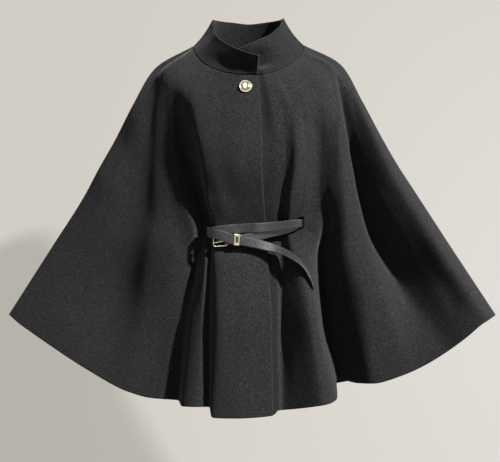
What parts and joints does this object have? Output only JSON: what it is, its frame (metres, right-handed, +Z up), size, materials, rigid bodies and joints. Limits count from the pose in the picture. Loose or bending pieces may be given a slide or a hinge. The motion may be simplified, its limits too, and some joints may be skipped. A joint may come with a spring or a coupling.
{
  "type": "belted cape poncho",
  "caption": "Heavy wool cape poncho in its worn shape, open below, with a wrapped standing collar, a domed metal button, and a thin leather belt passed twice round the waist.",
  "frame": {"origin": "centre of the neck seam ring, level with the points of the shoulders beside the neck", "axes": "+Z up as worn; -Y the front, the side in the picture; +X the wearer's left, from one hanging wing of the cape to the other"},
  "size_m": [0.9668, 0.3199, 0.7821],
  "materials": {
    "front_right_wool": "charcoal black fulled wool, matt with a faint grey nap",
    "front_left_wool": "charcoal black fulled wool, matt with a faint grey nap",
    "back_wool": "charcoal black fulled wool, matt with a faint grey nap",
    "collar_wool": "the same wool, two plies",
    "button_metal": "polished pale gold metal",
    "belt_leather": "dark grey smooth leather, half gloss",
    "buckle_frame_metal": "polished pale gold wire",
    "buckle_prong_metal": "polished pale gold wire",
    "keeper_metal": "polished pale gold strip"
  },
  "bodies": {
    "root": {"front_right": "front_right_wool", "front_left": "front_left_wool", "back": "back_wool", "collar": "collar_wool", "button": "button_metal", "belt": "belt_leather", "buckle_frame": "buckle_frame_metal", "buckle_prong": "buckle_prong_metal", "keeper": "keeper_metal"}
  },
  "joints": []
}
